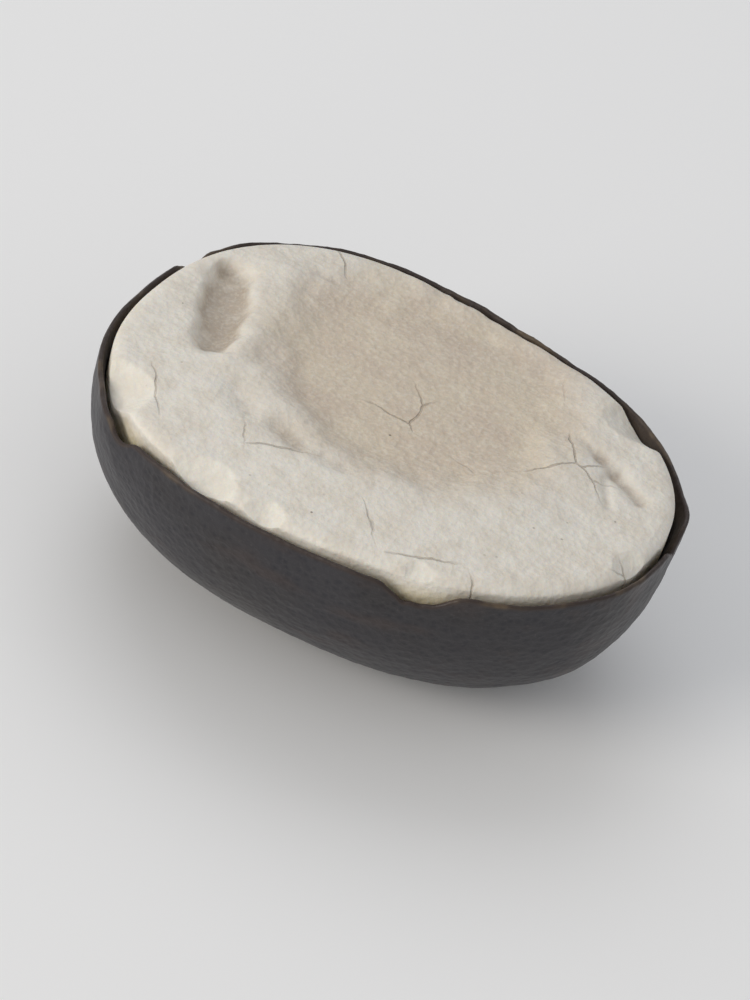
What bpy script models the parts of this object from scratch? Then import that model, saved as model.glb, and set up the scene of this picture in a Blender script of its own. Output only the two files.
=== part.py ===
"""Split black gram: one half of a seed, with its black seed coat still on the back.

The half lies on its back with the cut face up. Its length runs along X, and the side with the
hilum looks along +Y. The origin is on the ground, under the middle of the outline.
"""
import math
from typing import Callable

import bmesh
import bpy
from mathutils import Vector, noise

MM = 0.001
QUARTER_TURN = math.pi / 2

# Driving dimensions of the half seed, over its coat
LENGTH = 4.60 * MM
WIDTH = 3.45 * MM
HEIGHT = 1.80 * MM

# Outline in the cut plane: a full oval, straighter along the hilum, one end narrower
HILUM_SIDE_POWER = 2.4
BACK_POWER = 2.15
TAPER = 0.10
SLANT = 0.05

# Back: nearly a half barrel, rounder across than along, flattened where it rests
ROUNDNESS_ALONG = 2.75
ROUNDNESS_ACROSS = 2.15
SPOT_DEPTH = 0.042 * MM
LUMP_HEIGHT = 0.022
LUMP_SIZE = 1.6 * MM
LUMP_PLACE = Vector((3.1, 7.4, 1.2))

# Seed coat: a thin skin round the back, torn a little below the cut
COAT_THICKNESS = 0.07 * MM
COAT_GAP = 0.015 * MM
TEAR_DROP = 0.035 * MM
TEAR_WAVE = 0.035 * MM
TEAR_WAVES_ROUND = 2.2
TEAR_PLACE = 5.3
TEAR_FADE = 3
CHIPS = (
    {"angle": math.radians(-62), "half_width": math.radians(9), "depth": 0.17 * MM},
    {"angle": math.radians(-128), "half_width": math.radians(5), "depth": 0.10 * MM},
    {"angle": math.radians(14), "half_width": math.radians(8), "depth": 0.14 * MM},
    {"angle": math.radians(161), "half_width": math.radians(6), "depth": 0.12 * MM},
)

# Hilum: the raised oval scar on the coat, below the tear on the +Y side
HILUM_LENGTH = 2.10 * MM
HILUM_HEIGHT = 0.46 * MM
HILUM_RISE = 0.08 * MM
HILUM_MIDDLE_X = -0.30 * MM
HILUM_BELOW_WAIST = 0.44 * MM

# Cut face of the cotyledon: rounded edge that lies a little lower than the face inside it, shallow
# hollow nearer to the hilum side, bed of the embryo
FACE_RISE = 0.11 * MM
EDGE_ROUND = 0.14 * MM
EDGE_FALL = 0.40
EDGE_FALL_START = 0.55
HOLLOW_MIDDLE = Vector((-0.05, 0.50)) * MM
HOLLOW_REACH_X = 1.42 * MM
HOLLOW_REACH_Y = 1.36 * MM
HOLLOW_DEPTH = 0.09 * MM
HOLLOW_FLOOR = 0.60
EMBRYO_BED_DEPTH = 0.14 * MM
EMBRYO_BED_HALF_WIDTH = 0.16 * MM
EMBRYO_BED_EDGE = 0.16 * MM
EMBRYO_BED_START = Vector((-1.80, 0.58)) * MM
EMBRYO_BED_END = Vector((-1.50, -0.22)) * MM

# Meshes
SEGMENTS = 96
BACK_RINGS = 18
SPOT_RINGS = 3
SAME_PLACE = 0.001 * MM
SMOOTH_ANGLE = math.radians(50)

WAIST_Z = HEIGHT - FACE_RISE
FORM_DEPTH = WAIST_Z + SPOT_DEPTH

Placer = Callable[[float, float], Vector]


def clear_scene() -> None:
    """Remove every object that the file opens with."""
    for scene_object in list(bpy.data.objects):
        bpy.data.objects.remove(scene_object, do_unlink=True)


def smooth_step(value: float) -> float:
    """Ease from 0 to 1 with no slope at either end."""
    inside = min(max(value, 0.0), 1.0)
    return inside * inside * (3 - 2 * inside)


def form_point(angle: float, dip: float, inset: float) -> Vector:
    """Point of the seed's outer form, drawn inwards by inset.

    angle runs round the outline from +X. dip runs down the back, from 0 at the waist, where the
    seed is widest, to a quarter turn at its lowest point.
    """
    cosine, sine = math.cos(angle), math.sin(angle)
    power = HILUM_SIDE_POWER if sine > 0 else BACK_POWER
    reach = (abs(cosine) ** power + abs(sine) ** power) ** (-1 / power)
    roundness = ROUNDNESS_ACROSS + (ROUNDNESS_ALONG - ROUNDNESS_ACROSS) * cosine ** 2
    level, fall = max(math.cos(dip), 0.0), max(math.sin(dip), 0.0)
    swell = (level ** roundness + fall ** roundness) ** (-1 / roundness)
    along = reach * cosine * swell * level
    across = reach * sine * swell * level * (1 - TAPER * along)
    y = (WIDTH / 2 - inset) * across
    x = (LENGTH / 2 - inset) * along + SLANT * y
    from_waist = Vector((x, y, -(FORM_DEPTH - inset) * swell * fall))
    lump = LUMP_HEIGHT * noise.noise(from_waist / LUMP_SIZE + LUMP_PLACE)
    return Vector((0, 0, WAIST_Z)) + from_waist * (1 + lump)


def tear_depth(angle: float) -> float:
    """How far below the waist the coat's torn edge runs, with its chips."""
    round_place = Vector((math.cos(angle), math.sin(angle), 0)) * TEAR_WAVES_ROUND
    depth = TEAR_DROP + TEAR_WAVE * noise.noise(round_place + Vector((0, 0, TEAR_PLACE)))
    for chip in CHIPS:
        turn = math.remainder(angle - chip["angle"], math.tau)
        depth += chip["depth"] * smooth_step(1 - abs(turn) / chip["half_width"])
    return depth


def hilum_rise(point: Vector) -> float:
    """Height of the hilum above the coat at a point of its +Y side."""
    if point.y < 0:
        return 0.0
    along = (point.x - HILUM_MIDDLE_X) / (HILUM_LENGTH / 2)
    down = (point.z - WAIST_Z + HILUM_BELOW_WAIST) / (HILUM_HEIGHT / 2)
    return HILUM_RISE * smooth_step(2 * (1 - math.hypot(along, down)))


def coat_dip(angle: float, share: float) -> float:
    """Dip of a point a given share of the way from the torn edge to the lowest point."""
    edge_dip = tear_depth(angle) / FORM_DEPTH
    return QUARTER_TURN * share + edge_dip * (1 - share) ** TEAR_FADE


def coat_outside(angle: float, share: float) -> Vector:
    """Point of the coat's outer wall, flat on the ground round its lowest point."""
    point = form_point(angle, coat_dip(angle, share), 0.0)
    point.y += hilum_rise(point)
    on_spot = share > 1 - (SPOT_RINGS + 0.5) / BACK_RINGS
    point.z = 0.0 if on_spot else max(point.z, 0.0)
    return point


def coat_inside(angle: float, share: float) -> Vector:
    """Point of the coat's inner wall."""
    return form_point(angle, coat_dip(angle, share), COAT_THICKNESS)


def distance_to_embryo_bed(place: Vector) -> float:
    """Distance in the cut plane from a place to the middle line of the embryo's bed."""
    line = EMBRYO_BED_END - EMBRYO_BED_START
    share = (place - EMBRYO_BED_START).dot(line) / line.length_squared
    nearest = EMBRYO_BED_START + line * min(max(share, 0.0), 1.0)
    return (place - nearest).length


def face_height(place: Vector, spread: float, edge_distance: float) -> float:
    """Height of the cut face above the waist.

    place is the point seen from above, spread its share of the way out to the edge, and
    edge_distance what is left to the edge.
    """
    turn_in = min(edge_distance / EDGE_ROUND, 1.0)
    fall = EDGE_FALL * smooth_step((spread - EDGE_FALL_START) / (1 - EDGE_FALL_START))
    rim = FACE_RISE * (1 - fall) * math.sqrt(1 - (1 - turn_in) ** 2)
    from_middle = place - HOLLOW_MIDDLE
    reach = math.hypot(from_middle.x / HOLLOW_REACH_X, from_middle.y / HOLLOW_REACH_Y)
    hollow = HOLLOW_DEPTH * smooth_step((1 - reach) / (1 - HOLLOW_FLOOR))
    bed_reach = distance_to_embryo_bed(place) / EMBRYO_BED_HALF_WIDTH
    bed = EMBRYO_BED_DEPTH * math.exp(-bed_reach ** 2) * smooth_step(edge_distance / EMBRYO_BED_EDGE)
    return rim - hollow - bed


def cotyledon_surface(angle: float, latitude: float) -> Vector:
    """Point of the cotyledon: its back below the waist and its cut face above."""
    inset = COAT_THICKNESS + COAT_GAP
    if latitude <= 0:
        return form_point(angle, -latitude, inset)
    edge = form_point(angle, 0.0, inset)
    spread = math.cos(latitude)
    place = Vector((edge.x, edge.y)) * spread
    edge_distance = Vector((edge.x, edge.y)).length - place.length
    return Vector((place.x, place.y, WAIST_Z + face_height(place, spread, edge_distance)))


def unit_ball() -> bmesh.types.BMesh:
    """Ball of radius 1 whose equator will become the waist."""
    ball = bmesh.new()
    bmesh.ops.create_uvsphere(ball, u_segments=SEGMENTS, v_segments=2 * BACK_RINGS, radius=1.0)
    return ball


def angles_of(vertex: bmesh.types.BMVert) -> tuple[float, float]:
    """Direction round the axis and latitude of a vertex of the unit ball."""
    latitude = math.asin(min(max(vertex.co.z, -1.0), 1.0))
    return math.atan2(vertex.co.y, vertex.co.x), latitude


def unit_bowl() -> bmesh.types.BMesh:
    """Lower half of the unit ball, open at the equator."""
    bowl = unit_ball()
    half_ring = 0.5 * QUARTER_TURN / BACK_RINGS
    upper = [vertex for vertex in bowl.verts if angles_of(vertex)[1] > half_ring]
    bmesh.ops.delete(bowl, geom=upper, context="VERTS")
    return bowl


def shape_bowl(bowl: bmesh.types.BMesh, place_point: Placer) -> None:
    """Move each vertex of a unit bowl to where place_point puts it."""
    for vertex in bowl.verts:
        angle, latitude = angles_of(vertex)
        vertex.co = place_point(angle, max(-latitude, 0.0) / QUARTER_TURN)


def flatten_spot(bowl: bmesh.types.BMesh) -> None:
    """Turn the rings round the lowest point into one flat face on the ground."""
    spot_latitude = -QUARTER_TURN * (1 - (SPOT_RINGS - 0.5) / BACK_RINGS)
    inner = [vertex for vertex in bowl.verts if angles_of(vertex)[1] < spot_latitude]
    bmesh.ops.dissolve_verts(bowl, verts=inner)


def open_rim(bowl: bmesh.types.BMesh) -> list[bmesh.types.BMEdge]:
    """Edges of a bowl's open rim."""
    return [edge for edge in bowl.edges if edge.is_boundary]


def coat_mesh() -> bpy.types.Mesh:
    """Thin bowl: outer wall, inner wall and the torn edge that joins them."""
    outer = unit_bowl()
    flatten_spot(outer)
    shape_bowl(outer, coat_outside)
    inner = unit_bowl()
    shape_bowl(inner, coat_inside)
    bmesh.ops.reverse_faces(inner, faces=inner.faces)
    inner_mesh = bpy.data.meshes.new("coat_inner_wall")
    inner.to_mesh(inner_mesh)
    inner.free()
    outer.from_mesh(inner_mesh)
    bpy.data.meshes.remove(inner_mesh)
    bmesh.ops.bridge_loops(outer, edges=open_rim(outer))
    return finished_mesh("seed_coat", outer)


def cotyledon_mesh() -> bpy.types.Mesh:
    """Closed half: domed back, rounded edge and hollowed cut face."""
    ball = unit_ball()
    for vertex in ball.verts:
        vertex.co = cotyledon_surface(*angles_of(vertex))
    return finished_mesh("cotyledon", ball)


def finished_mesh(name: str, shape: bmesh.types.BMesh) -> bpy.types.Mesh:
    """Write a shape to a mesh with smooth shading and sharp tears."""
    bmesh.ops.remove_doubles(shape, verts=shape.verts, dist=SAME_PLACE)
    mesh = bpy.data.meshes.new(name)
    shape.to_mesh(mesh)
    shape.free()
    mesh.shade_smooth()
    mesh.set_sharp_from_angle(angle=SMOOTH_ANGLE)
    return mesh


def make_material(name: str, color: tuple[float, float, float], roughness: float) -> bpy.types.Material:
    """Plain material with one colour and roughness."""
    material = bpy.data.materials.new(name)
    material.use_nodes = True
    surface = material.node_tree.nodes["Principled BSDF"]
    surface.inputs["Base Color"].default_value = (*color, 1.0)
    surface.inputs["Roughness"].default_value = roughness
    surface.inputs["Metallic"].default_value = 0.0
    return material


def add_piece(mesh: bpy.types.Mesh, material: bpy.types.Material, parent: bpy.types.Object,
              collection: bpy.types.Collection) -> bpy.types.Object:
    """Make one named piece of the seed from its mesh."""
    mesh.materials.append(material)
    piece = bpy.data.objects.new(mesh.name, mesh)
    piece.parent = parent
    collection.objects.link(piece)
    return piece


def middle_of(pieces: list[bpy.types.Object]) -> Vector:
    """Middle of the pieces' box, seen from above."""
    corners = [vertex.co for piece in pieces for vertex in piece.data.vertices]
    x_values = [corner.x for corner in corners]
    y_values = [corner.y for corner in corners]
    return Vector((min(x_values) + max(x_values), min(y_values) + max(y_values), 0.0)) / 2


def build_split_black_gram() -> None:
    """Build the cotyledon and its coat, with the origin under the middle of their box."""
    clear_scene()
    collection = bpy.data.collections.new("split_black_gram")
    bpy.context.scene.collection.children.link(collection)
    seed = bpy.data.objects.new("split_black_gram_origin", None)
    seed.empty_display_size = LENGTH
    collection.objects.link(seed)

    cream = make_material("cotyledon_cream", (0.80, 0.72, 0.58), 0.65)
    black = make_material("seed_coat_black", (0.032, 0.032, 0.035), 0.55)
    cotyledon = add_piece(cotyledon_mesh(), cream, seed, collection)
    seed_coat = add_piece(coat_mesh(), black, seed, collection)
    seed.location = -middle_of([cotyledon, seed_coat])
    bpy.context.view_layer.update()


build_split_black_gram()
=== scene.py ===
"""Split black gram, dressed for a close look.

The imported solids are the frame. Each of the two is replaced by a finer mesh of the same form: the
cream cotyledon with its split face, and the thin black seed coat with its torn edge and hilum.
Lengths are in metres and angles in radians. The long axis runs along X, the hilum side looks along
+Y, and the cut face looks up.
"""
import logging
import math
from dataclasses import dataclass, field
from enum import Enum
from functools import cache
from typing import Callable

import bmesh
import bpy
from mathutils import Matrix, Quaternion, Vector, noise


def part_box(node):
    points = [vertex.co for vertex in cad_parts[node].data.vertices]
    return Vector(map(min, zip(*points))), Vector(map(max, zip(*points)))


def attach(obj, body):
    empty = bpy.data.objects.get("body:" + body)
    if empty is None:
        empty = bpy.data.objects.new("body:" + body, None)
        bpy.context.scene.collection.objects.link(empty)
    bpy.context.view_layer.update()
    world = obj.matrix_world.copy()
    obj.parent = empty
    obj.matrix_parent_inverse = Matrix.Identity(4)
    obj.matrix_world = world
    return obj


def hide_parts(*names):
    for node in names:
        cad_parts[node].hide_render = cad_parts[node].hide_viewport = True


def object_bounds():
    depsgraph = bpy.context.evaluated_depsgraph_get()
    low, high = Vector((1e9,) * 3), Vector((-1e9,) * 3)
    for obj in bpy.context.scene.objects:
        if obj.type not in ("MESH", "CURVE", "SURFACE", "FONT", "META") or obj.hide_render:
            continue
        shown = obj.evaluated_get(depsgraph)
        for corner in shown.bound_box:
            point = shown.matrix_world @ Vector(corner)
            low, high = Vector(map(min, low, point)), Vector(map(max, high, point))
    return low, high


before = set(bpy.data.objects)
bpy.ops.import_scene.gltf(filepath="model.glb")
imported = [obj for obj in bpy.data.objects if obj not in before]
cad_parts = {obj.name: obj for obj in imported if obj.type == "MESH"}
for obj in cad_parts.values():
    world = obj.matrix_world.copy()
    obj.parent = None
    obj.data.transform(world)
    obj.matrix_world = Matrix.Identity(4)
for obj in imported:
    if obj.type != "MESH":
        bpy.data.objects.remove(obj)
cad_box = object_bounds()

MM = 0.001
QUARTER_TURN = math.pi / 2
UP = Vector((0, 0, 1))
log = logging.getLogger("split_black_gram")


class Mask(Enum):
    """Names of the values that a mesh carries at each point for its material to read."""

    RIM = "rim"
    BED = "bed"
    BACK = "back"
    CHIP = "chip"
    HILUM = "hilum"
    GROOVE = "groove"
    TORN = "torn"
    LINING = "lining"


Masks = dict[Mask, float]
Surface = Callable[[float, float], tuple[Vector, Masks]]


def smooth_step(value: float) -> float:
    """Ease from 0 to 1 with no slope at either end."""
    inside = min(max(value, 0.0), 1.0)
    return inside * inside * (3 - 2 * inside)


def ripple(place: Vector, size: float, seed: float, octaves: float = 1.0) -> float:
    """Smooth random value from about -1 to 1 at a place.

    Args:
        place: Point in metres.
        size: Distance over which the value changes.
        seed: Picks one pattern among many.
        octaves: How many finer layers are added, each at half the size.

    Returns:
        The value, the same on every run.
    """
    shifted = place / size + Vector((seed, 2.3 * seed, 5.1 * seed))
    return noise.fractal(shifted, 1.0, 2.0, octaves) if octaves > 1 else noise.noise(shifted)


def ramp(value: float, start: float, end: float) -> float:
    """Ease from 0 to 1 while a value goes from start to end, which may lie below start."""
    return smooth_step((value - start) / (end - start))


def bell(value: float, width: float) -> float:
    """Bell curve: 1 at zero, fading out over a width on both sides."""
    return math.exp(-(value / width) ** 2)


def turn_between(angle: float, other: float) -> float:
    """Smallest turn between two directions, without its sign."""
    return abs(math.remainder(angle - other, math.tau))


@dataclass(frozen=True)
class Grain:
    """A smooth random unevenness.

    Attributes:
        height: Its greatest value, about.
        size: Distance over which it changes.
        seed: Picks one pattern among many.
        octaves: How many layers it has, each at half the size of the one before.
    """

    height: float
    size: float
    seed: float
    octaves: float = 2.0

    def at(self, place: Vector, shift: float = 0.0) -> float:
        """Value at a place, below zero as often as above, with a shift of the seed."""
        return self.height * ripple(place, self.size, self.seed + shift, self.octaves)


@dataclass(frozen=True)
class Dent:
    """A soft dent or nick at one direction of the outline.

    Attributes:
        angle: Direction from the middle.
        half_width: Turn from its deepest place to its end.
        depth: Greatest depth.
    """

    angle: float
    half_width: float
    depth: float

    def at(self, angle: float) -> float:
        """Depth in one direction."""
        return self.depth * smooth_step(1 - turn_between(angle, self.angle) / self.half_width)


@dataclass(frozen=True)
class Crease:
    """A soft groove or ridge along a short straight line of the cut face.

    Attributes:
        start: One end of its middle line, seen from above, in millimetres.
        end: The other end, in millimetres.
        half_width: Distance from the line over which it fades.
        height: Its height, below zero for a groove.
    """

    start: tuple[float, float]
    end: tuple[float, float]
    half_width: float
    height: float

    def share(self, place: Vector) -> float:
        """Share of it at a place of the face, 1 on its middle line."""
        start = Vector((*self.start, 0)) * MM
        line = Vector((*self.end, 0)) * MM - start
        along = (place - start).dot(line) / line.length_squared
        distance = (place - start - line * min(max(along, 0.0), 1.0)).length
        return bell(distance, self.half_width)


@dataclass(frozen=True)
class Break:
    """A small flake broken off the rim of the cut face, which leaves a sloping facet.

    Attributes:
        middle: Its place on the outline, seen from above, in millimetres.
        floor: Height of the facet at the outline, from the waist.
        slope: How steeply the facet rises inwards.
        curve: Radius of the facet along the rim.
        rough: Unevenness of the facet.
    """

    middle: tuple[float, float]
    floor: float = -0.045 * MM
    slope: float = 0.55
    curve: float = 0.28 * MM
    rough: Grain = Grain(0.012 * MM, 0.11 * MM, 31.0)

    def level(self, place: Vector) -> float:
        """Height of the facet at a place of the face, from the waist."""
        middle = Vector((*self.middle, 0)) * MM
        away = place - middle
        inward = -away.dot(middle.normalized())
        sideways = away.length_squared - inward * inward
        slanted = self.floor + self.slope * inward + sideways / (2 * self.curve)
        return slanted + self.rough.at(place)


@dataclass(frozen=True)
class Hollow:
    """The shallow hollow of the cut face, nearer to the hilum side than to the other.

    Attributes:
        middle: Its middle, seen from above, in millimetres.
        radii: How far it reaches along X and along Y, in millimetres.
        depth: Greatest depth.
        floor: Share of the way out from its middle over which it is fully deep.
    """

    middle: tuple[float, float] = (-0.05, 0.50)
    radii: tuple[float, float] = (1.42, 1.36)
    depth: float = 0.09 * MM
    floor: float = 0.60

    def reach(self, place: Vector) -> float:
        """Share of the way from its middle to its border at a place of the face."""
        along = (place.x / MM - self.middle[0]) / self.radii[0]
        across = (place.y / MM - self.middle[1]) / self.radii[1]
        return math.hypot(along, across)

    def drop(self, reach: float) -> float:
        """Depth at a share of the way out from its middle."""
        return self.depth * smooth_step((1 - reach) / (1 - self.floor))


@dataclass(frozen=True, eq=False)
class SeedForm:
    """Outer form of the half seed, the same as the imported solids'."""

    length: float = 4.60 * MM
    width: float = 3.45 * MM
    height: float = 1.80 * MM
    face_rise: float = 0.11 * MM
    hilum_side_power: float = 2.4
    back_power: float = 2.15
    taper: float = 0.10
    slant: float = 0.05
    roundness_along: float = 2.75
    roundness_across: float = 2.15
    spot_depth: float = 0.042 * MM
    lump_height: float = 0.022
    lump_size: float = 1.6 * MM
    lump_place: Vector = field(default_factory=lambda: Vector((3.1, 7.4, 1.2)))

    @property
    def waist(self) -> float:
        """Height at which the seed is widest."""
        return self.height - self.face_rise

    @property
    def depth(self) -> float:
        """Depth of the form below the waist, before the ground flattens it."""
        return self.waist + self.spot_depth

    def point(self, angle: float, dip: float, inset: float) -> Vector:
        """Point of the form, drawn inwards.

        Args:
            angle: Direction round the outline from +X.
            dip: 0 at the waist, a quarter turn at the lowest point.
            inset: Distance that the form is drawn inwards.

        Returns:
            The point.
        """
        cosine, sine = math.cos(angle), math.sin(angle)
        power = self.hilum_side_power if sine > 0 else self.back_power
        reach = (abs(cosine) ** power + abs(sine) ** power) ** (-1 / power)
        roundness = self.roundness_across + (self.roundness_along - self.roundness_across) * cosine ** 2
        level, fall = max(math.cos(dip), 0.0), max(math.sin(dip), 0.0)
        swell = (level ** roundness + fall ** roundness) ** (-1 / roundness)
        along = reach * cosine * swell * level
        across = reach * sine * swell * level * (1 - self.taper * along)
        y = (self.width / 2 - inset) * across
        x = (self.length / 2 - inset) * along + self.slant * y
        from_waist = Vector((x, y, -(self.depth - inset) * swell * fall))
        lump = self.lump_height * noise.noise(from_waist / self.lump_size + self.lump_place)
        return UP * self.waist + from_waist * (1 + lump)

    @cache
    def edge(self, angle: float, inset: float) -> Vector:
        """Point of the outline at the waist, seen from above."""
        point = self.point(angle, 0.0, inset)
        return Vector((point.x, point.y, 0)).freeze()


def ball_mesh(name: str, segments: int, rings: int, surface: Surface) -> bpy.types.Mesh:
    """Draw a ball over a surface and keep the surface's masks on its points.

    Args:
        name: Name of the mesh.
        segments: Steps round the vertical axis.
        rings: Steps from the lower pole to the upper one.
        surface: Gives the point and its masks for a direction and a share of the way up the ball.

    Returns:
        A closed mesh, shaded smooth.
    """
    ball = bmesh.new()
    bmesh.ops.create_uvsphere(ball, u_segments=segments, v_segments=rings, radius=1.0)
    layers = {mask: ball.verts.layers.float.new(mask.value) for mask in surface(0.0, 0.5)[1]}
    step = math.tau / segments
    for vertex in ball.verts:
        latitude = math.asin(min(max(vertex.co.z, -1.0), 1.0))
        angle = round(math.atan2(vertex.co.y, vertex.co.x) / step) * step
        point, masks = surface(angle, latitude / math.pi + 0.5)
        vertex.co = point
        for mask, value in masks.items():
            vertex[layers[mask]] = value
    mesh = bpy.data.meshes.new(name)
    ball.to_mesh(mesh)
    ball.free()
    mesh.shade_smooth()
    return mesh


@dataclass(frozen=True, eq=False)
class Cotyledon:
    """The cream seed leaf: rounded edge, split face with its shallow hollow, and hidden back."""

    form: SeedForm
    inset: float = 0.085 * MM
    edge_round: float = 0.14 * MM
    edge_fall: float = 0.40
    fall_start: float = 0.55
    hollow: Hollow = Hollow()
    border: Grain = Grain(0.10, 0.42 * MM, 7.0, 3.0)
    bed: Crease = Crease((-1.80, 0.58), (-1.50, -0.22), 0.16 * MM, -0.14 * MM)
    bed_edge: float = 0.16 * MM
    bed_least: float = 0.002
    bed_stray: tuple[Grain, Grain] = (
        Grain(0.075 * MM, 0.30 * MM, 33.0),
        Grain(0.075 * MM, 0.30 * MM, 35.0),
    )
    wall_firmness: float = 0.5
    wall_foot: float = 0.16
    wall_top: float = 0.72
    # Painted shade in the bed and the grooves: groove depth at which it is full, and its random
    # unevenness.
    painted_shade_depth: float = 0.062 * MM
    painted_shade_unevenness: Grain = Grain(0.6, 0.20 * MM, 25.0, 3.0)
    waves: Grain = Grain(0.008 * MM, 0.80 * MM, 3.0)
    ribs: Grain = Grain(0.0022 * MM, 0.13 * MM, 9.0)
    rib_stretch: float = 3.0
    lumps: Grain = Grain(0.006 * MM, 0.24 * MM, 5.0)
    lumps_reach: float = 0.90
    lumps_width: float = 0.16
    grain: Grain = Grain(0.0030 * MM, 0.09 * MM, 14.0, 3.0)
    relief_edge: float = 0.05 * MM
    chip_edge: float = 0.008 * MM
    # Grooves, whose height is below zero, also darken the face with painted shade.
    creases: tuple[Crease, ...] = (
        Crease((1.18, 0.78), (1.40, 0.68), 0.055 * MM, -0.024 * MM),
        Crease((1.42, 0.68), (1.56, 0.60), 0.095 * MM, -0.032 * MM),
        Crease((1.60, 0.60), (1.86, 0.46), 0.070 * MM, -0.042 * MM),
        Crease((1.52, 0.50), (1.70, 0.22), 0.045 * MM, -0.020 * MM),
        Crease((1.36, 0.06), (1.56, -0.06), 0.20 * MM, -0.014 * MM),
        # Broad, shallow dent at the left end, there mostly to darken it with painted shade.
        Crease((-1.98, 0.30), (-1.80, -0.45), 0.26 * MM, -0.012 * MM),
        Crease((-1.22, 0.41), (-1.28, -0.39), 0.11 * MM, 0.022 * MM),
        Crease((-1.50, 0.92), (-1.62, 0.86), 0.10 * MM, 0.020 * MM),
        Crease((-1.27, 1.05), (-1.20, 1.08), 0.07 * MM, -0.024 * MM),
        Crease((-1.08, -0.60), (-0.90, -0.76), 0.115 * MM, -0.034 * MM),
        Crease((-0.62, -0.76), (-0.40, -0.84), 0.105 * MM, -0.032 * MM),
        Crease((-0.18, -0.83), (-0.02, -0.84), 0.085 * MM, -0.024 * MM),
        Crease((0.20, -0.75), (0.34, -0.72), 0.090 * MM, 0.014 * MM),
        Crease((1.08, 0.42), (1.22, 0.32), 0.090 * MM, 0.014 * MM),
    )
    breaks: tuple[Break, ...] = (
        Break((-0.70, -1.60), curve=0.40 * MM),
        Break((-1.64, -1.10), floor=-0.030 * MM, slope=0.70),
        Break((-0.20, -1.64), floor=-0.030 * MM, slope=0.70, curve=0.20 * MM),
        Break((0.98, -1.47), floor=-0.025 * MM, curve=0.24 * MM),
        Break((2.18, -0.24), slope=0.65),
        Break((1.38, 1.26), curve=0.34 * MM),
        Break((-0.30, 1.66), floor=-0.020 * MM),
    )
    segments: int = 512
    rings: int = 190
    back_share: float = 0.14
    back_fade: float = 0.08

    def facet(self, place: Vector) -> float:
        """Height over which the breaks have taken the face away at a place, from the waist."""
        return min(one.level(place) for one in self.breaks)

    @cache
    def edge_cut(self, angle: float) -> float:
        """How far below the waist the breaks cut the edge itself in one direction."""
        return max(-self.facet(self.form.edge(angle, self.inset)), 0.0)

    def bed_cut(self, place: Vector) -> float:
        """Share of the embryo bed's depth at a place of the face, with firm, wavy walls."""
        share = self.bed.share(place)
        if share < self.bed_least:
            return share
        aside = Vector((self.bed_stray[0].at(place), self.bed_stray[1].at(place), 0))
        share = self.bed.share(place + aside)
        firm = ramp(share, self.wall_foot, self.wall_top)
        return (1 - self.wall_firmness) * share + self.wall_firmness * firm

    def shade(self, place: Vector) -> float:
        """Share of painted shade that darkens the embryo bed and the grooves at a place of the face."""
        grooves = sum(max(-crease.height, 0.0) * crease.share(place) for crease in self.creases)
        share = max(self.bed_cut(place), grooves / self.painted_shade_depth)
        return min(max(share * (1 + self.painted_shade_unevenness.at(place)), 0.0), 1.0)

    def relief(self, place: Vector, reach: float) -> float:
        """Fine relief of the split face: waves, a lumpy border, ribs along the seed and grain.

        Args:
            place: Point of the face seen from above.
            reach: Share of the way from the hollow's middle to its border.

        Returns:
            Height above the plain face.
        """
        ribs = self.ribs.at(Vector((place.x / self.rib_stretch, place.y, 0)))
        lumps = self.lumps.at(place) * bell(reach - self.lumps_reach, self.lumps_width)
        creases = sum(crease.height * crease.share(place) for crease in self.creases)
        return self.waves.at(place) + ribs + lumps + self.grain.at(place) + creases

    def face(self, angle: float, spread: float) -> tuple[Vector, Masks]:
        """Point of the split face and its rounded edge."""
        outward = self.form.edge(angle, self.inset)
        place = outward * spread
        edge_distance = outward.length * (1 - spread)
        turn_in = min(edge_distance / self.edge_round, 1.0)
        fall = self.edge_fall * ramp(spread, self.fall_start, 1.0)
        rim = self.form.face_rise * (1 - fall) * math.sqrt(1 - (1 - turn_in) ** 2)
        reach = self.hollow.reach(place) + self.border.at(place)
        bed_share = self.bed_cut(place) * smooth_step(edge_distance / self.bed_edge)
        top = rim - self.hollow.drop(reach) + self.bed.height * bed_share
        top += self.relief(place, reach) * smooth_step(edge_distance / self.relief_edge)
        broken = top - self.facet(place)
        # The bed mask carries the painted shade of the embryo bed and the grooves.
        masks = {Mask.RIM: reach, Mask.BED: self.shade(place), Mask.BACK: 0.0,
                 Mask.CHIP: smooth_step(broken / self.chip_edge)}
        return place + UP * (self.form.waist + top - max(broken, 0.0)), masks

    def surface(self, angle: float, share: float) -> tuple[Vector, Masks]:
        """Point of the cotyledon for a share of the way up the ball."""
        if share >= self.back_share:
            out = 1 - (share - self.back_share) / (1 - self.back_share)
            return self.face(angle, math.sin(QUARTER_TURN * out))
        down = 1 - share / self.back_share
        cut = self.edge_cut(angle) / self.form.depth
        point = self.form.point(angle, cut + (QUARTER_TURN - cut) * down, self.inset)
        masks = {Mask.RIM: 1.0, Mask.BED: 0.0, Mask.BACK: smooth_step(down / self.back_fade),
                 Mask.CHIP: 0.0}
        return point, masks

    def build(self) -> bpy.types.Mesh:
        """Mesh of the whole cotyledon."""
        return ball_mesh("cotyledon_split_half", self.segments, self.rings, self.surface)


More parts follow.
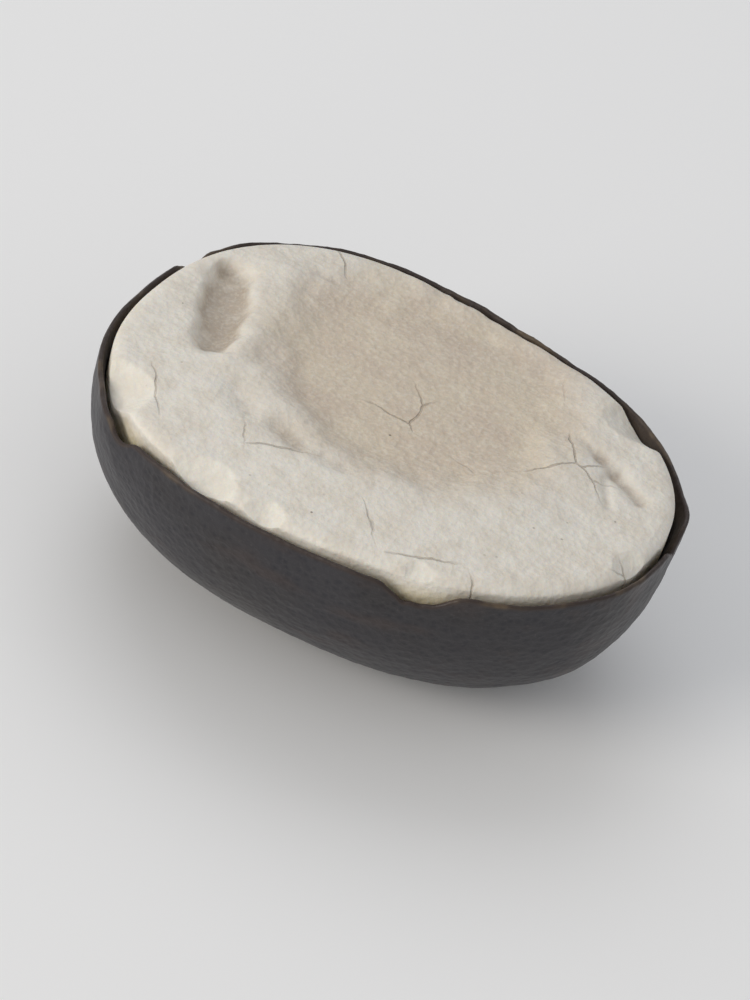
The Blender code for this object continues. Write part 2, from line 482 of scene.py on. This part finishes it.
@dataclass(frozen=True)
class Hilum:
    """The scar where the seed hung in its pod: a raised oval, dished, with a groove along it.

    Attributes:
        length: Length along X.
        height: Height along Z.
        rise: How far its cushion stands out.
        middle: X of its middle.
        below_waist: Distance from the waist down to its middle.
        cushion: Shares of the way out from its middle where the cushion starts and is full.
        dish: Shares of the way out where the dish starts and is full.
        dish_share: Share of the cushion that the dish takes away.
        moat_depth: Depth of the narrow dip round it.
        moat_distance: Distance of that dip outside its outline.
        moat_width: Width of that dip.
        groove_depth: Depth of the groove.
        groove_width: Width of the groove, as a share of half the height.
        groove_end: Shares of half the length where the groove ends and where it is full.
        edge_width: Width over which its colour gives way to the coat's.
        outline: Unevenness of its outline.
        wave: How the groove winds.
        sponge: Unevenness of its surface.
    """

    length: float = 2.10 * MM
    height: float = 0.46 * MM
    rise: float = 0.08 * MM
    middle: float = -0.30 * MM
    below_waist: float = 0.44 * MM
    cushion: tuple[float, float] = (1.02, 0.72)
    dish: tuple[float, float] = (0.70, 0.30)
    dish_share: float = 0.45
    moat_depth: float = 0.016 * MM
    moat_distance: float = 0.030 * MM
    moat_width: float = 0.022 * MM
    groove_depth: float = 0.040 * MM
    groove_width: float = 0.15
    groove_end: tuple[float, float] = (0.80, 0.60)
    edge_width: float = 0.044 * MM
    outline: Grain = Grain(0.05, 0.20 * MM, 23.0)
    wave: Grain = Grain(0.12, 0.35 * MM, 27.0, 1.0)
    sponge: Grain = Grain(0.006 * MM, 0.09 * MM, 21.0)

    def at(self, point: Vector, waist: float) -> tuple[float, float, float]:
        """The hilum at a point of the coat.

        Args:
            point: Point of the plain coat.
            waist: Height of the seed's waist.

        Returns:
            Its rise, its share from 0 outside to 1 on it, and the share of its groove.
        """
        if point.y < 0:
            return 0.0, 0.0, 0.0
        half_length, half_height = self.length / 2, self.height / 2
        along = (point.x - self.middle) / half_length
        down = (point.z - waist + self.below_waist) / half_height
        reach = math.hypot(along, down) * (1 + self.outline.at(point))
        growth = max(math.hypot(along / half_length, down / half_height), 1.0)
        inside = (1 - reach) * reach / growth
        cushion = ramp(reach, *self.cushion)
        dish = self.dish_share * ramp(reach, *self.dish)
        moat = self.moat_depth * bell(inside + self.moat_distance, self.moat_width)
        groove = bell(down + self.wave.at(point), self.groove_width)
        groove *= ramp(abs(along), *self.groove_end)
        rise = (self.rise * (1 - dish) + self.sponge.at(point)) * cushion
        rise -= self.groove_depth * groove + moat
        return rise, smooth_step(0.5 + inside / self.edge_width), groove


@dataclass(frozen=True, eq=False)
class SeedCoat:
    """The thin black coat round the back: outer wall, torn lip, lining and hilum."""

    form: SeedForm
    thickness: float = 0.07 * MM
    lip_thickness: float = 0.036 * MM
    lip_growth: float = 0.05
    lip_crown: float = 0.35
    lip_rough: Grain = Grain(0.5, 0.05 * MM, 17.0)
    tear_drop: float = 0.035 * MM
    tear_wave: float = 0.035 * MM
    tear_waves_round: float = 2.2
    tear_place: float = 5.3
    tear_fade: float = 3.0
    fray: Grain = Grain(0.018 * MM, 0.16, 4.0, 4.0)
    ragged: Grain = Grain(0.35, 0.07, 8.0)
    torn_outside: float = 0.012
    torn_inside: float = 0.02
    chips: tuple[Dent, ...] = (
        Dent(math.radians(-62), math.radians(9), 0.17 * MM),
        Dent(math.radians(-128), math.radians(5), 0.10 * MM),
        Dent(math.radians(14), math.radians(8), 0.14 * MM),
        Dent(math.radians(161), math.radians(6), 0.12 * MM),
    )
    lifts: tuple[Dent, ...] = (
        Dent(math.radians(-74), math.radians(10), 0.035 * MM),
        Dent(math.radians(-133), math.radians(12), 0.045 * MM),
        Dent(math.radians(26), math.radians(11), 0.040 * MM),
    )
    lift_fade: float = 0.22
    wrinkles: Grain = Grain(0.012 * MM, 0.50 * MM, 6.0, 3.0)
    wrinkle_stretch: float = 3.0
    pits: Grain = Grain(0.0030 * MM, 0.08 * MM, 11.0)
    spot_share: float = 0.15
    hilum: Hilum = Hilum()
    segments: int = 384
    rings: int = 220
    wall_share: float = 0.66
    lip_share: float = 0.05

    @cache
    def tear_depth(self, angle: float) -> float:
        """How far below the waist the torn edge runs in one direction."""
        round_place = Vector((math.cos(angle), math.sin(angle), 0))
        slow = noise.noise(round_place * self.tear_waves_round + UP * self.tear_place)
        chips = sum(chip.at(angle) for chip in self.chips) * (1 + self.ragged.at(round_place))
        return self.tear_drop + self.tear_wave * slow + chips + self.fray.at(round_place)

    def dip(self, angle: float, share: float) -> float:
        """Dip of a wall point a share of the way from the torn edge to the lowest point."""
        edge_dip = self.tear_depth(angle) / self.form.depth
        return QUARTER_TURN * share + edge_dip * (1 - share) ** self.tear_fade

    @cache
    def greatest_lift(self, angle: float) -> float:
        """Distance that the torn edge itself stands off in one direction."""
        return sum(lift.at(angle) for lift in self.lifts)

    def lift(self, angle: float, share: float) -> float:
        """Distance that the coat stands off a share of the way down from its torn edge."""
        return self.greatest_lift(angle) * (1 - smooth_step(share / self.lift_fade))

    def skin(self, point: Vector) -> float:
        """Fine relief of the outer wall: dried wrinkles and pits."""
        stretched = Vector((point.x / self.wrinkle_stretch, point.y, point.z))
        return self.wrinkles.at(stretched) + self.pits.at(point)

    def outside(self, angle: float, share: float) -> tuple[Vector, Masks]:
        """Point of the outer wall, flat on the ground round its lowest point."""
        point = self.form.point(angle, self.dip(angle, share), 0.0)
        rise, hilum_share, groove = self.hilum.at(point, self.form.waist)
        outward = (point - UP * self.form.waist).normalized()
        point += Vector((0, rise, 0))
        grown = smooth_step(share / self.lip_growth)
        point += outward * (self.skin(point) * grown + self.lift(angle, share))
        point.z = 0.0 if share > 1 - self.spot_share else max(point.z, 0.0)
        masks = {Mask.HILUM: hilum_share, Mask.GROOVE: groove, Mask.LINING: 0.0,
                 Mask.TORN: 1 - smooth_step(share / self.torn_outside)}
        return point, masks

    def inside(self, angle: float, share: float) -> tuple[Vector, Masks]:
        """Point of the lining, which closes up to a thinner lip at the torn edge."""
        grown = smooth_step(share / self.lip_growth)
        depth = self.lip_thickness + (self.thickness - self.lip_thickness) * grown
        point = self.form.point(angle, self.dip(angle, share), depth)
        outward = (point - UP * self.form.waist).normalized()
        point += outward * self.lift(angle, share)
        masks = {Mask.HILUM: 0.0, Mask.GROOVE: 0.0, Mask.LINING: 1.0,
                 Mask.TORN: 1 - smooth_step(share / self.torn_inside)}
        return point, masks

    def lip(self, angle: float, share: float) -> tuple[Vector, Masks]:
        """Point of the torn lip, a share of the way from the outer wall to the lining."""
        outer, masks = self.outside(angle, 0.0)
        inner, _ = self.inside(angle, 0.0)
        rough = 1 + self.lip_rough.at(outer, share)
        crown = math.sin(math.pi * share) * self.lip_crown * self.lip_thickness * rough
        masks[Mask.TORN] = 1.0
        return outer.lerp(inner, share) + UP * crown, masks

    def surface(self, angle: float, share: float) -> tuple[Vector, Masks]:
        """Point of the coat for a share of the way up a ball that is pushed in from above."""
        if share <= self.wall_share:
            return self.outside(angle, 1 - share / self.wall_share)
        past = share - self.wall_share
        if past < self.lip_share:
            return self.lip(angle, past / self.lip_share)
        lining_share = 1 - self.wall_share - self.lip_share
        return self.inside(angle, (past - self.lip_share) / lining_share)

    def build(self) -> bpy.types.Mesh:
        """Mesh of the whole coat."""
        return ball_mesh("seed_coat_skin", self.segments, self.rings, self.surface)


def linear_color(code: str) -> tuple[float, float, float, float]:
    """Turn an sRGB hex code such as #EADFC8 into linear red, green, blue and alpha."""
    channels = [int(code[place:place + 2], 16) / 255 for place in (1, 3, 5)]
    linear = [c / 12.92 if c <= 0.04045 else ((c + 0.055) / 1.055) ** 2.4 for c in channels]
    return linear[0], linear[1], linear[2], 1.0


def add_node(tree: bpy.types.NodeTree, kind: str, inputs: dict[str | int, object],
             **settings: object) -> bpy.types.Node:
    """Add a node with its settings, values and links.

    Args:
        tree: The material's node tree.
        kind: The node's type name.
        inputs: Value or output socket for each input, by its name or number.
        **settings: The node's own properties.

    Returns:
        The new node.
    """
    node = tree.nodes.new(kind)
    for name, value in settings.items():
        setattr(node, name, value)
    for key, value in inputs.items():
        if isinstance(value, bpy.types.NodeSocket):
            tree.links.new(value, node.inputs[key])
        else:
            node.inputs[key].default_value = value
    return node


class Painter:
    """Builds one material's colour and relief step by step on its node tree."""

    def __init__(self, name: str) -> None:
        """Start a material with an empty tree and its object coordinates."""
        self.material = bpy.data.materials.new(name)
        self.material.use_nodes = True
        self.tree = self.material.node_tree
        self.tree.nodes.clear()
        self.place = add_node(self.tree, "ShaderNodeTexCoord", {}).outputs["Object"]

    def mask(self, name: Mask) -> bpy.types.NodeSocket:
        """Value that the mesh carries under a name."""
        return add_node(self.tree, "ShaderNodeAttribute", {}, attribute_name=name.value).outputs["Fac"]

    def pattern(self, size: float, detail: float, stretch: tuple[float, float, float] = (1, 1, 1),
                shift: float = 0.0) -> bpy.types.NodeSocket:
        """Random pattern.

        Args:
            size: Distance over which it changes, in metres.
            detail: How many finer layers it has.
            stretch: Factors on the coordinates, below 1 to draw it out along an axis.
            shift: Moves it, so that two patterns differ.

        Returns:
            The value, from 0 to 1.
        """
        moved = add_node(self.tree, "ShaderNodeMapping",
                         {"Vector": self.place, "Scale": stretch, "Location": (shift * MM,) * 3})
        inputs = {"Vector": moved.outputs[0], "Scale": 1 / size, "Detail": detail}
        return add_node(self.tree, "ShaderNodeTexNoise", inputs).outputs["Fac"]

    def cells(self, size: float) -> bpy.types.NodeSocket:
        """Distance to the nearest cell centre, for cells of a size in metres."""
        inputs = {"Vector": self.place, "Scale": 1 / size, "Randomness": 0.9}
        return add_node(self.tree, "ShaderNodeTexVoronoi", inputs).outputs["Distance"]

    def seams(self, size: float, waviness: float) -> bpy.types.NodeSocket:
        """Thin wavy lines round cells.

        Args:
            size: Size of the cells, in metres.
            waviness: How far the lines stray from straight ones, in metres.

        Returns:
            Distance to the nearest line, in shares of the size.
        """
        stray = {"Vector": self.place, "Scale": 3 / size, "Detail": 3.0}
        wave = add_node(self.tree, "ShaderNodeTexNoise", stray).outputs["Color"]
        moved = add_node(self.tree, "ShaderNodeVectorMath",
                         {0: wave, 1: (waviness,) * 3, 2: self.place}, operation="MULTIPLY_ADD")
        inputs = {"Vector": moved.outputs[0], "Scale": 1 / size}
        node = add_node(self.tree, "ShaderNodeTexVoronoi", inputs, voronoi_dimensions="2D",
                        feature="DISTANCE_TO_EDGE")
        return node.outputs["Distance"]

    def ease(self, value: bpy.types.NodeSocket, start: float, end: float,
             low: float = 0.0, high: float = 1.0) -> bpy.types.NodeSocket:
        """Go smoothly from low to high while a value goes from start to end."""
        inputs = {"Value": value, "From Min": start, "From Max": end, "To Min": low, "To Max": high}
        node = add_node(self.tree, "ShaderNodeMapRange", inputs, interpolation_type="SMOOTHSTEP")
        return node.outputs["Result"]

    def times(self, first: bpy.types.NodeSocket,
              second: bpy.types.NodeSocket | float) -> bpy.types.NodeSocket:
        """Product of two values."""
        node = add_node(self.tree, "ShaderNodeMath", {0: first, 1: second}, operation="MULTIPLY")
        return node.outputs[0]

    def mix(self, share: bpy.types.NodeSocket | float, under: object, over: object,
            blend: str = "MIX") -> bpy.types.NodeSocket:
        """Lay one colour over another by a share.

        Args:
            share: 0 keeps the colour below, 1 gives the one on top.
            under: Hex code or socket of the colour below.
            over: Hex code or socket of the colour on top.
            blend: Blender's name for how they mix.

        Returns:
            The mixed colour.
        """
        colors = [linear_color(c) if isinstance(c, str) else c for c in (under, over)]
        inputs = {0: share, 6: colors[0], 7: colors[1]}
        node = add_node(self.tree, "ShaderNodeMix", inputs, data_type="RGBA", blend_type=blend)
        return node.outputs[2]

    def bump(self, height: bpy.types.NodeSocket, depth: float,
             below: bpy.types.NodeSocket | None = None) -> bpy.types.NodeSocket:
        """Normal that shows a height of a real depth in metres, on top of an earlier normal."""
        inputs: dict[str | int, object] = {"Height": height, "Distance": depth}
        if below is not None:
            inputs["Normal"] = below
        return add_node(self.tree, "ShaderNodeBump", inputs).outputs["Normal"]

    def finish(self, inputs: dict[str | int, object]) -> bpy.types.Material:
        """Close the tree with a Principled surface that has these inputs."""
        surface = add_node(self.tree, "ShaderNodeBsdfPrincipled", inputs)
        add_node(self.tree, "ShaderNodeOutputMaterial", {"Surface": surface.outputs[0]})
        return self.material


@dataclass(frozen=True)
class SplitStarchyFlesh:
    """Dry bean flesh, split along its natural seam.

    Packed starch grains under a thin waxy film: soft light goes a little way in, and the hollow is
    mottled beige. The rim is whiter than the hollow, partly its own paler tone and partly painted
    light where the rim catches the light. The embryo bed and the grooves are darkened with painted
    shade, and so are the hairline cracks along their lines.
    """

    hollow: str = "#D0C2AD"
    hollow_warm: str = "#C8B8A6"
    hollow_pale: str = "#DACEB9"
    # Rim colours: partly the flesh's own paler tone, partly painted light on the rim.
    rim: str = "#E5DFD3"
    rim_shade: str = "#DDD5C7"
    chipped: str = "#F6F1E4"
    # Painted shade colour of the embryo bed and the grooves.
    bed: str = "#A3917D"
    back: str = "#DACCA8"
    starch: str = "#F3EDDE"
    speck: str = "#6E6354"
    # Painted shade colour along the hairline cracks.
    crack: str = "#95836E"
    crack_size: float = 0.95 * MM
    crack_waviness: float = 0.16 * MM
    mottle_size: float = 0.60 * MM
    rib_size: float = 0.14 * MM
    cloud_size: float = 0.22 * MM
    cell_size: float = 0.060 * MM
    grain_size: float = 0.030 * MM
    speck_size: float = 0.16 * MM
    scatter: float = 0.06 * MM

    def build(self) -> bpy.types.Material:
        """Material of the cotyledon."""
        paint = Painter("split_starchy_bean_flesh")
        mottle = paint.pattern(self.mottle_size, 3.0)
        ribs = paint.pattern(self.rib_size, 2.0, stretch=(0.30, 1.0, 1.0), shift=3.0)
        clouds = paint.pattern(self.cloud_size, 4.0, shift=9.0)
        grain = paint.pattern(self.grain_size, 3.0, shift=7.0)
        rim = paint.mask(Mask.RIM)
        color = paint.mix(paint.ease(mottle, 0.36, 0.64, 0.0, 0.8), self.hollow, self.hollow_warm)
        color = paint.mix(paint.ease(ribs, 0.48, 0.75, 0.0, 0.40), color, self.hollow_pale)
        color = paint.mix(paint.ease(clouds, 0.50, 0.72, 0.0, 0.45), color, self.hollow_pale)
        white = paint.mix(paint.ease(clouds, 0.40, 0.64), self.rim, self.rim_shade)
        # Whiter towards the rim: partly the flesh's own tone, partly painted light that the rim
        # catches.
        color = paint.mix(paint.ease(rim, 0.66, 1.14), color, white)
        # Painted shade in the embryo bed and the grooves.
        color = paint.mix(paint.ease(paint.mask(Mask.BED), 0.10, 1.00, 0.0, 0.70), color, self.bed)
        color = paint.mix(paint.times(paint.mask(Mask.CHIP), 0.32), color, self.chipped)
        color = paint.mix(paint.mask(Mask.BACK), color, self.back)
        color = paint.mix(paint.ease(grain, 0.42, 0.72, 0.0, 0.24), color, self.starch)
        specks = paint.ease(paint.cells(self.speck_size), 0.085, 0.050)
        sparse = paint.ease(paint.pattern(0.5 * MM, 1.0, shift=11.0), 0.60, 0.70)
        color = paint.mix(paint.times(paint.times(specks, sparse), 0.75), color, self.speck)
        # Hairline cracks: painted shade along the lines, with a shallow bump.
        lines = paint.ease(paint.seams(self.crack_size, self.crack_waviness), 0.013, 0.002)
        some = paint.ease(paint.pattern(1.1 * MM, 1.0, shift=15.0), 0.525, 0.625)
        cracks = paint.times(lines, some)
        color = paint.mix(paint.times(cracks, 0.45), color, self.crack)
        normal = paint.bump(cracks, -0.009 * MM)
        normal = paint.bump(clouds, 0.005 * MM, normal)
        normal = paint.bump(paint.cells(self.cell_size), 0.006 * MM, normal)
        normal = paint.bump(grain, 0.005 * MM, normal)
        return paint.finish({
            "Base Color": color,
            "Roughness": paint.ease(rim, 0.6, 1.1, 0.60, 0.50),
            "Normal": normal,
            "Subsurface Weight": 0.25,
            "Subsurface Radius": (1.0, 0.72, 0.45),
            "Subsurface Scale": self.scatter,
            "IOR": 1.45,
            "Specular IOR Level": 0.40,
        })


@dataclass(frozen=True)
class DriedSeedCoat:
    """Dry black seed skin.

    Tannin-dark cells pressed flat, with fine pits and a dull grey bloom: a soft sheen, no mirror
    highlights, and brown or blue-grey patches. The torn edge is fibrous brown, and the hilum is
    pale spongy tissue with a dark groove.
    """

    black: str = "#201D1F"
    blue_grey: str = "#27262B"
    brown: str = "#342927"
    bloom: str = "#575250"
    torn: str = "#372C27"
    fibre: str = "#64543F"
    lining: str = "#4A4038"
    hilum: str = "#D9D2C2"
    hilum_shade: str = "#C9BEAA"
    groove: str = "#5E5346"
    patch_size: float = 1.1 * MM
    streak_size: float = 0.26 * MM
    pit_size: float = 0.065 * MM
    dust_size: float = 0.028 * MM
    fray_size: float = 0.30 * MM

    def build(self) -> bpy.types.Material:
        """Material of the seed coat."""
        paint = Painter("dried_black_seed_coat")
        patches = paint.pattern(self.patch_size, 2.0)
        streaks = paint.pattern(self.streak_size, 4.0, stretch=(0.35, 1.0, 1.0), shift=2.0)
        dust = paint.pattern(self.dust_size, 2.0, shift=5.0)
        fray = paint.pattern(self.fray_size, 3.0, shift=6.0)
        pits = paint.cells(self.pit_size)
        hilum = paint.mask(Mask.HILUM)
        torn = paint.mask(Mask.TORN)
        color = paint.mix(paint.ease(patches, 0.40, 0.62), self.black, self.blue_grey)
        color = paint.mix(paint.ease(streaks, 0.50, 0.72, 0.0, 0.75), color, self.brown)
        color = paint.mix(paint.ease(pits, 0.10, 0.55, 0.0, 0.14), color, self.bloom)
        color = paint.mix(paint.ease(dust, 0.60, 0.76, 0.0, 0.25), color, self.bloom)
        groove = paint.ease(paint.mask(Mask.GROOVE), 0.15, 0.95, 0.0, 0.9)
        spongy = paint.mix(paint.ease(streaks, 0.35, 0.65), self.hilum, self.hilum_shade)
        spongy = paint.mix(groove, spongy, self.groove)
        color = paint.mix(hilum, color, spongy)
        color = paint.mix(paint.mask(Mask.LINING), color, self.lining)
        edge = paint.mix(paint.ease(fray, 0.50, 0.72, 0.0, 0.75), self.torn, self.fibre)
        color = paint.mix(torn, color, edge)
        normal = paint.bump(streaks, 0.014 * MM)
        normal = paint.bump(pits, 0.006 * MM, normal)
        normal = paint.bump(dust, 0.003 * MM, normal)
        return paint.finish({
            "Base Color": color,
            "Roughness": paint.ease(patches, 0.35, 0.65, 0.42, 0.56),
            "Normal": normal,
            "Specular IOR Level": 0.42,
            "IOR": 1.48,
            "Sheen Weight": 0.06,
            "Sheen Roughness": 0.45,
        })


@dataclass(frozen=True)
class Studio:
    """Pale floor, soft light and the camera."""

    floor_color: str = "#F6F5F3"
    floor_size: float = 400 * MM
    floor_drop: float = 0.002 * MM
    ambient: float = 0.54
    lens: float = 180.0
    azimuth: float = math.radians(19)
    elevation: float = math.radians(40)
    roll: float = math.radians(16)
    frame_share: float = 0.80

    def floor(self) -> bpy.types.Object:
        """Plain floor just under the seed."""
        grid = bmesh.new()
        bmesh.ops.create_grid(grid, x_segments=1, y_segments=1, size=self.floor_size / 2)
        bmesh.ops.translate(grid, verts=grid.verts, vec=-UP * self.floor_drop)
        mesh = bpy.data.meshes.new("studio_floor")
        grid.to_mesh(mesh)
        grid.free()
        paint = Painter("matte_floor_card")
        color = {"Base Color": linear_color(self.floor_color), "Roughness": 0.9}
        mesh.materials.append(paint.finish(color))
        floor = bpy.data.objects.new("studio_floor", mesh)
        bpy.context.scene.collection.objects.link(floor)
        return floor

    def soft_light(self, name: str, towards: Vector, distance: float, size: float, power: float,
                   color: str) -> None:
        """Add a square soft light.

        Args:
            name: Name of the light.
            towards: Direction from the seed to the light.
            distance: How far away it stands.
            size: Length of its sides.
            power: Its power in watts.
            color: Hex code of its colour.
        """
        lamp = bpy.data.lights.new(name, "AREA")
        lamp.shape = "SQUARE"
        lamp.size = size
        lamp.energy = power
        lamp.color = linear_color(color)[:3]
        light = bpy.data.objects.new(name, lamp)
        light.location = towards.normalized() * distance
        light.rotation_euler = towards.to_track_quat("Z", "Y").to_euler()
        bpy.context.scene.collection.objects.link(light)

    def lights(self) -> None:
        """Ambient light and two soft lights."""
        world = bpy.data.worlds.new("soft_daylight")
        world.use_nodes = True
        sky = world.node_tree.nodes["Background"]
        sky.inputs["Color"].default_value = linear_color("#F1F3F7")
        sky.inputs["Strength"].default_value = self.ambient
        bpy.context.scene.world = world
        self.soft_light("low_window", towards=Vector((-0.60, -0.85, 0.50)), distance=80 * MM,
                        size=40 * MM, power=0.030, color="#FFFBF5")
        self.soft_light("top_panel", towards=Vector((-0.45, 0.55, 1.0)), distance=80 * MM,
                        size=60 * MM, power=0.012, color="#F6F9FF")

    def camera(self, middle: Vector, span: float) -> None:
        """Stand the camera at the photograph's angle to the cut face.

        Args:
            middle: Point that it looks at.
            span: Length that fills frame_share of the picture's width.
        """
        data = bpy.data.cameras.new("camera")
        data.lens = self.lens
        width_by_height = 750 / 1000
        half_width = data.sensor_width / 2 / self.lens * width_by_height
        distance = span / self.frame_share / 2 / half_width
        flat = math.cos(self.elevation)
        back = Vector((math.sin(self.azimuth) * flat, -math.cos(self.azimuth) * flat,
                       math.sin(self.elevation)))
        data.clip_start, data.clip_end = 1 * MM, 1.0
        camera = bpy.data.objects.new("camera", data)
        camera.location = middle + back * distance
        level = (-back).to_track_quat("-Z", "Y")
        camera.rotation_euler = (level @ Quaternion((0, 0, 1), self.roll)).to_euler()
        bpy.context.scene.collection.objects.link(camera)
        bpy.context.scene.camera = camera

    def set_up(self, low: Vector, high: Vector) -> None:
        """Put floor, lights and camera round the box of the seed."""
        self.floor()
        self.lights()
        self.camera((low + high) / 2, high.x - low.x)
        bpy.context.scene.view_settings.view_transform = "Standard"


@dataclass(frozen=True)
class SplitGram:
    """The half seed: its cotyledon and its coat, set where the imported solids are."""

    form: SeedForm = field(default_factory=SeedForm)

    def settle(self, coat: bpy.types.Mesh, cotyledon: bpy.types.Mesh) -> None:
        """Move both meshes so that the fine coat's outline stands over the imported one's."""
        low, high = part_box("seed_coat")
        flat = [Vector((vertex.co.x, vertex.co.y, 0)) for vertex in coat.vertices]
        own_low = Vector((min(p.x for p in flat), min(p.y for p in flat), 0))
        own_high = Vector((max(p.x for p in flat), max(p.y for p in flat), 0))
        shift = (low + high - own_low - own_high) / 2
        for mesh in (coat, cotyledon):
            for vertex in mesh.vertices:
                vertex.co.x += shift.x
                vertex.co.y += shift.y

    def add(self, mesh: bpy.types.Mesh, finish: bpy.types.Material, node: str) -> bpy.types.Object:
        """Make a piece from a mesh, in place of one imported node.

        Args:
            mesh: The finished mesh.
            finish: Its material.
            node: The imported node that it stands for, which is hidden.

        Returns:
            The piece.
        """
        mesh.materials.append(finish)
        piece = bpy.data.objects.new(mesh.name, mesh)
        bpy.context.scene.collection.objects.link(piece)
        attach(piece, "root")
        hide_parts(node)
        log.info("%s: %d points, stands for %s", piece.name, len(mesh.vertices), node)
        return piece

    def build(self) -> None:
        """Build and dress both pieces."""
        cotyledon = Cotyledon(self.form).build()
        coat = SeedCoat(self.form).build()
        self.settle(coat, cotyledon)
        self.add(cotyledon, SplitStarchyFlesh().build(), "cotyledon")
        self.add(coat, DriedSeedCoat().build(), "seed_coat")


def main() -> None:
    """Build the seed, then the studio round it."""
    logging.basicConfig(level=logging.INFO, format="%(name)s: %(message)s")
    SplitGram().build()
    Studio().set_up(*cad_box)


if __name__ == "__main__":
    main()
